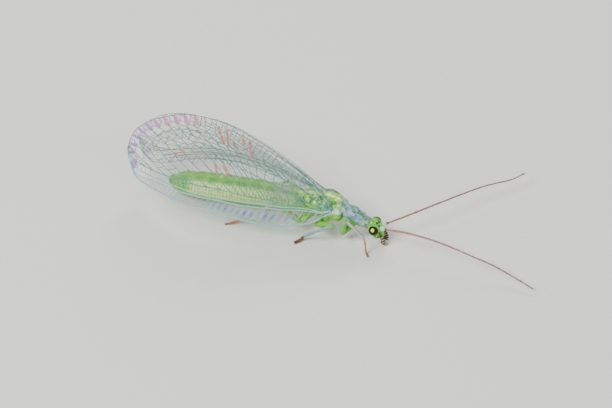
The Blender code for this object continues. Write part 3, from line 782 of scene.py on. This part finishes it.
tent = {
    # ridge height and spread against distance behind the mesothorax
    "ridge": ((-0.6, 3.10), (0.6, 3.80), (1.3, 4.20), (2.4, 4.95), (3.6, 5.65), (4.7, 6.15), (5.8, 6.60),
              (7.0, 6.95), (8.4, 7.10), (14.0, 7.10)),
    "spread": ((-0.6, 0.476), (6.0, 0.476), (9.0, 0.42), (11.0, 0.30), (12.5, 0.18), (13.9, 0.12)),
    "ridgeHalf": 0.10, "standOff": 0.16, "leftSag": 0.35, "leftForward": 0.20, "bodyMargin": 1.05,
    "pleat": 0.018, "pleats": 7,
}
wings = {
    # costa and hind are the two edges: distance behind the mesothorax and height. room is kept
    # to the body, density is the film's, veinSize scales the veins of either side
    "forewing": {
        "root": -1.05, "tip": 13.72, "inward": 0.0, "room": 0.09, "branches": 24, "costals": 40,
        "grid": (300, 90), "density": 0.024, "forkScale": 1.0, "veinSize": {-1: 1.28, 1: 0.75},
        "costa": ((-1.05, 2.24), (-0.59, 1.93), (0.0, 1.46), (0.6, 1.24), (1.26, 1.13), (2.0, 1.03),
                  (3.2, 1.13), (4.8, 1.26), (6.6, 1.49), (8.4, 1.50), (9.6, 1.46), (10.9, 1.37),
                  (11.8, 1.25), (12.6, 1.24), (13.1, 1.48), (13.5, 2.25), (13.72, 3.22)),
        "hind": ((-1.05, 2.40), (-0.98, 2.72), (-0.7, 2.90), (-0.25, 3.10), (0.2, 3.42), (1.2, 4.25),
                 (2.4, 5.06), (3.6, 5.74), (4.7, 6.26), (5.8, 6.71), (7.0, 7.02), (8.4, 7.10),
                 (9.85, 6.97), (11.1, 6.53), (12.02, 6.04), (12.7, 5.49), (13.16, 4.97), (13.5, 4.24),
                 (13.72, 3.22))},
    "hindwing": {
        "root": 0.9, "tip": 12.7, "inward": 0.30, "room": 0.04, "branches": 20, "costals": 28,
        "grid": (240, 72), "density": 0.012, "forkScale": 0.8, "veinSize": {-1: 0.34, 1: 0.34},
        "costa": ((0.9, 2.35), (1.7, 2.42), (2.6, 2.40), (4.0, 2.30), (6.0, 2.15), (8.0, 2.00),
                  (10.0, 1.95), (11.5, 2.05), (12.3, 2.50), (12.7, 3.30)),
        "hind": ((0.9, 2.60), (1.7, 3.20), (2.6, 3.85), (4.0, 4.80), (6.0, 5.75), (8.0, 6.10),
                 (9.5, 5.95), (10.8, 5.45), (12.0, 4.50), (12.7, 3.30))},
    "halfThickness": 0.012, "hinge": (1.50, 0.80, 2.17),
    # places across the root and radii of the stalks
    "stalks": ((0.0, 0.060), (0.4, 0.070), (0.95, 0.050)),
}
# radius, colour and number of steps of a vein's straight stretches
strokes = {
    "costal": (0.021, "pale", 5), "bar": (0.020, "pale", 5), "extraStep": (0.020, "cross", 5),
    "forkArm": (0.020, "vein", 4), "tip": (0.025, "vein", 8), "rowStart": (0.030, "vein", 5),
    "last": (0.026, "vein", 8),
}
veinTaper = 0.35     # share of its thickness that a vein loses from root to tip
veinHair = {"length": 0.13, "long": 160, "thickness": 0.005, "spread": 0.35, "fringe": 400,
            "fringeLength": 0.10, "fringeLean": (-0.5, 0, 0.85), "fringeSpread": 0.1}
veinColours = {
    "vein": (0.03, 0.27, 0.20), "pale": (0.26, 0.52, 0.47), "rim": (0.05, 0.17, 0.17),
    "costa": (0.28, 0.46, 0.54), "cross": (0.03, 0.25, 0.17), "stalk": (0.62, 0.80, 0.74),
    "hair": (0.22, 0.24, 0.16),
}


def backOf(kind, a):
    # distance behind the mesothorax = root + length * sin(a * 90 degrees)
    w = wings[kind]
    return w["root"] + (w["tip"] - w["root"]) * np.sin(a * np.pi / 2)


def alongWing(kind, back):
    # the other way round, held inside the wing
    w = wings[kind]
    return math.asin(min(max((back - w["root"]) / (w["tip"] - w["root"]), 0), 1)) * 2 / math.pi


def wingEdge(kind, edge, a):
    return smoothCurve([(alongWing(kind, back), z) for back, z in wings[kind][edge]], a)


def aroundBody(x, z, room):
    # half width of the body at height z, plus the room, as half size * sqrt(1 - (height / half size)^2)
    centre, half, _ = alongTrunk(x)
    half = half * tent["bodyMargin"]
    share = np.clip(1 - ((z - centre) / (half + room)) ** 2, 0, None)
    return (half * trunk["wide"] + room) * np.sqrt(share)


def wingSurface(kind, a, v, side):
    # z runs from the costal edge to the hind edge by v; y = ridge half width + (ridge height - z)
    # * spread, and never inside the body
    w = wings[kind]
    back, low, high = backOf(kind, a), wingEdge(kind, "costa", a), wingEdge(kind, "hind", a)
    z = low + (high - low) * v
    drop = np.clip(smoothCurve(tent["ridge"], back) - z, 0, None)
    y = (tent["ridgeHalf"] + drop * smoothCurve(tent["spread"], back)
         + tent["standOff"] * np.clip(drop, 0, 1) - w["inward"] * np.clip((back - 1.0) / 1.5, 0.25, 1))
    y = np.maximum(y, aroundBody(-back, z, w["room"]))
    pleat = tent["pleat"] * np.sin(v * 2 * np.pi * tent["pleats"]) * np.clip(1 - a, 0, 1) ** 0.3
    gone = ((back - w["root"]) / (w["tip"] - w["root"])) ** 1.5 * (side > 0)
    return np.stack([-back + tent["leftForward"] * gone, side * (y + pleat),
                     z - tent["leftSag"] * gone], -1)


def surfaceNormal(kind, a, v, side):
    # square to the surface's two slopes, on the outer side
    a, v, e = np.clip(a, 0, 0.995), np.clip(v, 0.002, 0.998), 1e-3
    da = wingSurface(kind, a + e, v, side) - wingSurface(kind, np.maximum(a - e, 0), v, side)
    dv = wingSurface(kind, a, v + e, side) - wingSurface(kind, a, v - e, side)
    n = unit(np.cross(da, dv))
    return n * np.where(n[..., 1:2] * side < 0, -1, 1)


def marginPlace(kind, count):
    # where this many branches have reached the hind margin: its length so far, over their spacing
    grid = np.linspace(0, 1, 400)
    walk = walked(wingSurface(kind, grid, np.ones(400), -1))
    return float(np.interp(count, walk / walk[-1] * wings[kind]["branches"], grid))


def insideMargin(kind, a, depth):
    # the (a, v) place this deep inside the hind margin, measured square to it, in millimetres
    near = np.clip(np.array([a - 0.004, a, a + 0.004]), 0, 1)
    back, z = backOf(kind, near), wingEdge(kind, "hind", near)
    run = unit(np.array([back[2] - back[0], z[2] - z[0]]))
    inner = alongWing(kind, back[1] + run[1] * depth)
    low, high = [float(wingEdge(kind, edge, inner)) for edge in ("costa", "hind")]
    return inner, min(max((z[1] - run[0] * depth - low) / max(high - low, 1e-6), 0), 1)


def marginCoordinates(kind, a, v):
    # distance to the hind margin and the branch count at its nearest point, round the tip as well
    rim = wingSurface(kind, np.concatenate([np.linspace(0, 1, 260), np.linspace(1, 0.90, 30)]),
                      np.concatenate([np.ones(260), np.zeros(30)]), -1)
    walk = walked(rim)
    count = walk / walk[259] * wings[kind]["branches"]
    places = wingSurface(kind, a, v, -1)
    away, phase = np.empty(len(places)), np.empty(len(places))
    for start in range(0, len(places), 4000):
        part = slice(start, start + 4000)
        gaps = np.linalg.norm(places[part, None] - rim[None], axis=2)
        nearest = gaps.argmin(1)
        away[part], phase[part] = gaps[np.arange(len(nearest)), nearest], count[nearest]
    return away, phase


# how far across the wing each long vein and row of steps runs, against the distance along it
longVeins = {
    "subcosta": ((0.0, 0.30), (0.05, 0.33), (0.098, 0.30), (0.173, 0.235), (0.253, 0.180), (0.336, 0.140),
                 (0.43, 0.115), (0.53, 0.108), (0.66, 0.10), (0.78, 0.07), (0.85, 0.02), (0.87, 0.0)),
    "radius": ((0.0, 0.36), (0.05, 0.38), (0.098, 0.347), (0.173, 0.281), (0.253, 0.222), (0.336, 0.178),
               (0.43, 0.155), (0.53, 0.152), (0.66, 0.165), (0.80, 0.19), (0.90, 0.24), (1.0, 0.38)),
    "sector": ((0.10, 0.36), (0.17, 0.35), (0.25, 0.305), (0.34, 0.265), (0.45, 0.24), (0.60, 0.24),
               (0.70, 0.27), (0.82, 0.33), (0.92, 0.40), (1.0, 0.5)),
    "inner": ((0.0, 0.42), (0.06, 0.50), (0.12, 0.56), (0.22, 0.59), (0.284, 0.602), (0.33, 0.61),
              (0.369, 0.592), (0.411, 0.555), (0.446, 0.522), (0.526, 0.478), (0.62, 0.44), (0.72, 0.43),
              (0.82, 0.46), (1.0, 0.55)),
    "outer": ((0.0, 0.55), (0.05, 0.66), (0.10, 0.715), (0.145, 0.735), (0.22, 0.728), (0.265, 0.738),
              (0.30, 0.76), (0.342, 0.785), (0.45, 0.785), (0.506, 0.765), (0.541, 0.736),
              (0.599, 0.692), (0.718, 0.625), (0.82, 0.62), (1.0, 0.7)),
}
# how far rootward of its fork a branch crosses each of these lines, against the fork's place
branchLean = {
    "outer": ((0.0, 0.01), (0.25, 0.02), (0.40, 0.03), (0.526, 0.045), (0.63, 0.085), (0.745, 0.115),
              (1.0, 0.13)),
    "inner": ((0.0, 0.02), (0.25, 0.04), (0.36, 0.085), (0.45, 0.125), (0.526, 0.157), (0.63, 0.182),
              (0.745, 0.20), (1.0, 0.22)),
    "sector": ((0.0, 0.03), (0.15, 0.04), (0.25, 0.085), (0.30, 0.115), (0.36, 0.16), (0.41, 0.192),
               (0.45, 0.216), (0.526, 0.263), (0.63, 0.312), (0.745, 0.335), (1.0, 0.345)),
}
# depth of the forks inside the hind margin, in millimetres
forkDepth = ((0.0, 0.5), (0.15, 0.75), (0.30, 0.9), (0.42, 0.78), (0.5, 0.66), (1.0, 0.62))
forkHalf = 0.27      # half the width of a fork at the margin, in branch gaps
# the outer part's extra steps: parts of the way along the branch before and along this one
extraSteps = ((0.66, 0.50), (0.60, 0.42), (0.58, 0.34))
extraStepsFrom = 0.42
# the tip past the last branch: two more branches and the bars between them, in (a, v)
tipBranches = (((0.66, 0.258), (0.75, 0.375), (0.83, 0.51), (0.90, 0.66), (0.955, 0.86), (0.975, 0.985)),
               ((0.72, 0.28), (0.80, 0.385), (0.87, 0.49), (0.93, 0.66), (0.985, 0.95)))
tipBars = (((0.79, 0.44), (0.81, 0.40)), ((0.86, 0.57), (0.88, 0.51)), ((0.93, 0.76), (0.95, 0.72)),
           ((0.80, 0.385), (0.815, 0.33)), ((0.87, 0.49), (0.885, 0.375)), ((0.94, 0.69), (0.955, 0.43)),
           ((0.75, 0.375), (0.735, 0.42)), ((0.83, 0.51), (0.815, 0.60)), ((0.90, 0.66), (0.89, 0.78)))


def partWay(span, part):
    return tuple(p + (q - p) * part for p, q in zip(*span))


def veinRoutes(kind):
    # each route is (a values, v values, radius, colour name)
    w, isFore = wings[kind], kind == "forewing"
    routes = [(np.linspace(0, 0.999, 160), np.full(160, edge), radius, colour)
              for edge, radius, colour in ((0.0, 0.048, "costa"), (1.0, 0.026, "rim"))]
    for name, radius, colour in (("subcosta", 0.034, "pale"), ("radius", 0.040, "pale"),
                                 ("sector", 0.030, "vein")):
        stations = longVeins[name]
        a = np.linspace(stations[0][0], min(stations[-1][0], 0.995), 150)
        routes.append((a, smoothCurve(stations, a), radius, colour))

    def on(name, a):
        return a, float(smoothCurve(longVeins[name], a))

    def line(stroke, *places):
        # straight stretches through the places, in (a, v)
        radius, colour, steps = stroke
        at = np.arange(len(places))
        t = np.linspace(0, len(places) - 1, steps * (len(places) - 1) + 1)
        routes.append((*(np.interp(t, at, values) for values in zip(*places)), radius, colour))

    for a in np.linspace(0.03, 0.845, w["costals"]):
        line(strokes["costal"], (a + 0.012, 0.0), on("subcosta", a - 0.010))
    # a branch runs from its origin over the inner and the outer row, low and high end of its bar
    # in each, to the stem of its fork
    branches = []
    for k in range(1, w["branches"]):
        fork = marginPlace(kind, k)
        gap = marginPlace(kind, k + 1) - fork
        # near the root the rows run in zigzags and the branches are their bars; further out the
        # branches run on and the rows are steps between them
        out = float(step(fork, 0.30, 0.50))
        halfA, halfV = 0.25 * gap * (1 - out) + 0.014 * out, 0.013 * (1 - out) + 0.028 * out
        crossing = {name: fork - float(smoothCurve(lean, fork)) for name, lean in branchLean.items()}
        start = crossing["sector"]
        branch = [on("sector", start) if start > 0.10 else on("radius", max(start, 0.003))]
        for row in ("inner", "outer"):
            a, v = on(row, max(crossing[row], 0.004))
            branch += [(max(a - halfA, 0.002), v - halfV), (a + halfA, v + halfV)]
        deep = float(smoothCurve(forkDepth, fork)) * w["forkScale"]
        branch.append(insideMargin(kind, fork, deep))
        size, bar = 0.022 + 0.004 * out, 0.028 - 0.003 * out
        for i, (radius, steps) in enumerate(((size, 7), (bar, 5), (size, 6), (bar, 5), (size, 5))):
            line((radius, "vein", steps), *branch[i:i + 2])
        if isFore and fork > extraStepsFrom:
            # shorter cells in the outer part: one more step across each stretch between the rows
            for i, (near, far) in zip((0, 2, 4), extraSteps):
                line(strokes["extraStep"], partWay(branches[-1][i:i + 2], near),
                     partWay(branch[i:i + 2], far))
        for arm in (-1, 1):
            end = min(marginPlace(kind, k + arm * forkHalf), 0.999)
            line(strokes["forkArm"], branch[-1], insideMargin(kind, end, deep * 0.70), (end, 0.998))
        if branches:
            for i in (2, 4):
                line((0.028 - 0.006 * out, "vein" if out < 0.5 else "cross", 5),
                     branches[-1][i], branch[i - 1])
        # bars between radius and sector
        if 0.12 < start < 0.9:
            line(strokes["bar"], on("radius", start - 0.3 * gap), on("sector", start - 0.1 * gap))
        branches.append(branch)
    if isFore:
        for places in tipBranches + tipBars:
            line(strokes["tip"], *places)
        for a in np.linspace(0.67, 0.95, 8):
            line(strokes["bar"], on("radius", a), on("sector", a + 0.012))
    for v, i in ((0.42, 1), (0.55, 3)):
        line(strokes["rowStart"], (0.0, v), branches[0][i])
    for v, end in ((0.64, 0.125), (0.78, 0.065)):
        line(strokes["last"], (0.0, v), (end * 0.45, v + (0.995 - v) * 0.62), (end, 0.995))
    return routes


def wingPieces(kind, side, sideName):
    w, node = wings[kind], kind + "_" + sideName
    a, v = np.meshgrid(*(np.linspace(0, 1, count) for count in w["grid"]), indexing="ij")
    middle = wingSurface(kind, a, v, side)
    lift = surfaceNormal(kind, a, v, side) * wings["halfThickness"]
    # the film is a loop of points round the sheet: out along the outer face, back along the inner
    loop = np.concatenate([middle + lift, (middle - lift)[:, ::-1]], 1)
    flat = np.stack([a, v], -1)
    values = np.concatenate([flat, flat[:, ::-1]], 1)
    film = capped(loop, values) if side > 0 else capped(loop[:, ::-1], values[:, ::-1])
    paint, density = filmPaint(kind, *film[2].T, side)
    makePiece(node + "_film", film, finishes["membrane"], paint, (node,), density)
    shells, paints, roots, tips = [], [], [], []

    def add(shell, colour):
        shells.append(shell)
        paints.append(plain(veinColours[colour], shell))

    def addHairs(feet, lean, length):
        roots.append(feet)
        tips.append(feet + lean * length)

    for a, v, radius, colour in veinRoutes(kind):
        v = np.clip(v, 0.0, 1.0)
        path, up = wingSurface(kind, a, v, side), surfaceNormal(kind, a, v, side)
        add(tube(path, radius * w["veinSize"][side] * (1 - veinTaper * a), 6, up), colour)
        many = max(2, len(path) // 3) if len(path) < 30 else veinHair["long"]
        where = chance.integers(0, len(path), many)
        lean = unit(up[where] * chance.choice([-1, 1], (many, 1))
                    + chance.normal(0, veinHair["spread"], (many, 3)))
        addHairs(path[where], lean, veinHair["length"])
        if colour == "rim":
            many = veinHair["fringe"]
            lean = unit(veinHair["fringeLean"] + chance.normal(0, veinHair["fringeSpread"], (many, 3)))
            addHairs(path[chance.integers(20, len(path), many)], lean, veinHair["fringeLength"])
    if kind == "forewing":
        # stout stalks run from the wing's root on to the hinge at the shoulder
        for place, size in wings["stalks"]:
            start, end = wingSurface(kind, np.array([0.03, 0.0]), np.full(2, place), side)
            path = smoothPath((start, end, np.array(wings["hinge"]) * (1, side, 1)), 18)
            add(tube(path, np.linspace(size * 0.5, size, 18)), "stalk")
    add(hairs(np.concatenate(roots), np.concatenate(tips), veinHair["thickness"]), "hair")
    makePiece(node + "_veins", joined(shells), finishes["vein"], np.concatenate(paints))


# the film's clear colour, and the colours and strength of its painted sheen and glints, weaker on the
# left wing
sheen = {
    "clear": (0.28, 0.44, 0.36), "pink": (0.88, 0.20, 0.42), "violet": (0.42, 0.16, 0.68),
    "blue": (0.03, 0.07, 0.60), "white": (0.86, 0.70, 0.95), "red": (0.85, 0.06, 0.03),
    "teal": (0.10, 0.50, 0.40), "flash": 0.85, "left": 0.3,
}
# painted red glints: streaks that shine in some cells, each from one place to another in (a, v)
redStreaks = (
    ((0.379, 0.925), (0.351, 0.796)), ((0.348, 0.930), (0.336, 0.806)), ((0.321, 0.826), (0.307, 0.795)),
    ((0.270, 0.930), (0.254, 0.770)), ((0.371, 0.532), (0.356, 0.428)), ((0.341, 0.538), (0.319, 0.455)),
    ((0.518, 0.589), (0.497, 0.579)), ((0.544, 0.542), (0.534, 0.525)), ((0.294, 0.943), (0.287, 0.883)),
)
streakHalf = 0.085   # half width, in millimetres
streakScale = np.array((20, 5.6))   # millimetres to the unit along and across the wing


def streakShare(a, v):
    # one minus the distance to the nearest streak, over its half width
    best = np.zeros_like(a)
    for start, end in redStreaks:
        along = (np.array(end) - start) * streakScale
        gap = (np.stack([a, v], -1) - start) * streakScale
        t = np.clip(gap @ along / (along @ along), 0, 1)
        away = np.linalg.norm(gap - along * t[:, None], axis=1)
        best = np.maximum(best, 1 - step(away, streakHalf * 0.6, streakHalf * 1.2))
    return best


def filmPaint(kind, a, v, side):
    # painted sheen: the thin film's reflection colours drift across the wing in slow waves
    drift = np.sin(a * 17 + 3.1 * np.sin(v * 5 + a * 4)) + 0.6 * np.sin(v * 13 + a * 9)
    colour = layered(sheen["clear"], sheen, (
        ("teal", 0.35 * step(drift, 0.0, 1.0)), ("violet", 0.45 * step(drift, 0.8, 1.4)),
        ("pink", 0.45 * step(-drift, 0.8, 1.4))))
    # the film is denser where the painted sheen is strong, away from the root
    density = wings[kind]["density"] * (1 + 1.4 * step(np.abs(drift), 0.9, 1.5) * step(a, 0.2, 0.5))
    if kind == "forewing":
        # the fork cells of the outer border carry painted glints, white at the rim and pink to violet
        # below it
        away, phase = marginCoordinates(kind, a, v)
        aside, cell = (phase + 0.5) % 1.0 - 0.5, np.floor(phase + 0.5)
        wide = forkHalf * np.interp(away, (0.0, 0.45, 0.62), (1.2, 1.05, 0.35))
        inFork = step(wide - np.abs(aside), -0.02, 0.03) * step(cell, 14.1, 14.9)
        inFork = inFork * (1 - step(away, 0.58, 0.66))
        tone = layered(sheen["pink"], sheen, (
            ("violet", step(cell + 1.5 * np.sin(cell * 2.3), 16, 22)),
            ("white", step(-aside * 1.4 - away + 0.1 * np.sin(away * 30), -0.26, -0.06))))
        flash = sheen["flash"] * (0.85 + 0.15 * np.sin(away * 35 + cell))
        streak = streakShare(a, v) * (0.75 + 0.25 * np.sin(v * 130 + a * 50))
        # painted iridescent reflections: blue and violet spots between the cross-veins of the front
        # border
        top = np.maximum(smoothCurve(longVeins["subcosta"], a), 0.02)
        slant = (a + 0.022 * v / top - 0.042) * (wings[kind]["costals"] - 1) / 0.815
        spot = bell(slant % 1.0, 0.5, 0.26) * bell(v / top, 0.5, 0.24) * step(a, 0.09, 0.13)
        spot = spot * (1 - step(a, 0.34, 0.46)) * (0.85 + 0.15 * np.sin(np.floor(slant) * 2.1))
        shade = mixColours(sheen["blue"], sheen["violet"], 0.5 + 0.5 * np.sin(np.floor(slant) * 1.7))
        colour = layered(colour, sheen, ((tone, inFork), ("red", streak), (shade, spot)))
        # the painted glints, red streaks and spots also thicken the film, less so on the left wing
        strength = 1.0 if side < 0 else sheen["left"]
        density = density + strength * (flash * inFork + 0.9 * streak + 0.85 * spot)
    return colour, np.clip(density, 0, 0.95)


for side, name in sides:
    for kind in ("forewing", "hindwing"):
        wingPieces(kind, side, name)

# floor, light and camera

studio = {"floor": (0.80, 0.80, 0.78), "sky": (0.86, 0.90, 0.94), "skyStrength": 0.45}
floorMesh = bpy.data.meshes.new("floor")
reach = 0.6
floorMesh.from_pydata([(-reach, -reach, 0), (reach, -reach, 0), (reach, reach, 0), (-reach, reach, 0)],
                      [], [(0, 1, 2, 3)])
floor = placed("floor", floorMesh)
floorLook, tree, shader = newMaterial("paleFloor")
tone = addNode(tree, "ShaderNodeTexNoise", {"Scale": 30.0})
darker = [c * 0.97 for c in studio["floor"]]
mix = addNode(tree, "ShaderNodeMix", {6: (*studio["floor"], 1), 7: (*darker, 1)}, data_type="RGBA")
setInputs(shader, {"Roughness": 0.7})
wire(tree, (addNode(tree, "ShaderNodeTexCoord"), "Object", tone, "Vector"), (tone, "Fac", mix, 0),
     (mix, 2, shader, "Base Color"))
floorMesh.materials.append(floorLook)

world = bpy.data.worlds.new("studio")
world.use_nodes = True
setInputs(world.node_tree.nodes["Background"], {"Color": (*studio["sky"], 1),
                                                "Strength": studio["skyStrength"]})
bpy.context.scene.world = world


def softbox(name, place, target, size, power, colour):
    lamp = bpy.data.lights.new(name, "AREA")
    lamp.shape, lamp.size, lamp.energy, lamp.color = "DISK", size, power, colour
    holder = placed(name, lamp)
    holder.location = Vector(place)
    holder.rotation_euler = (Vector(target) - Vector(place)).to_track_quat("-Z", "Y").to_euler()


softbox("keyLight", (-0.10, -0.15, 0.20), (0, 0, 0), 0.14, 0.85, (1.0, 0.98, 0.94))
softbox("fillLight", (0.22, -0.10, 0.14), (0, 0, 0), 0.14, 0.20, (0.94, 0.97, 1.0))
softbox("rimLight", (-0.04, 0.20, 0.14), (0, 0, 0), 0.10, 0.30, (1.0, 0.97, 0.95))

view = {"azimuth": 21.0, "elevation": 40.0, "lens": 180.0, "distance": 204.0,
        "target": (-0.98, -0.42, 2.03)}
turnA, turnE = math.radians(view["azimuth"]), math.radians(view["elevation"])
back = Vector((math.sin(turnA) * math.cos(turnE), -math.cos(turnA) * math.cos(turnE),
               math.sin(turnE)))
lens = bpy.data.cameras.new("camera")
lens.lens, lens.sensor_width, lens.clip_start, lens.clip_end = view["lens"], 36.0, 0.005, 5.0
camera = placed("camera", lens)
camera.location = Vector(toFrame(view["target"])) + back * view["distance"] * mm
camera.rotation_euler = back.to_track_quat("Z", "Y").to_euler()
bpy.context.scene.camera = camera
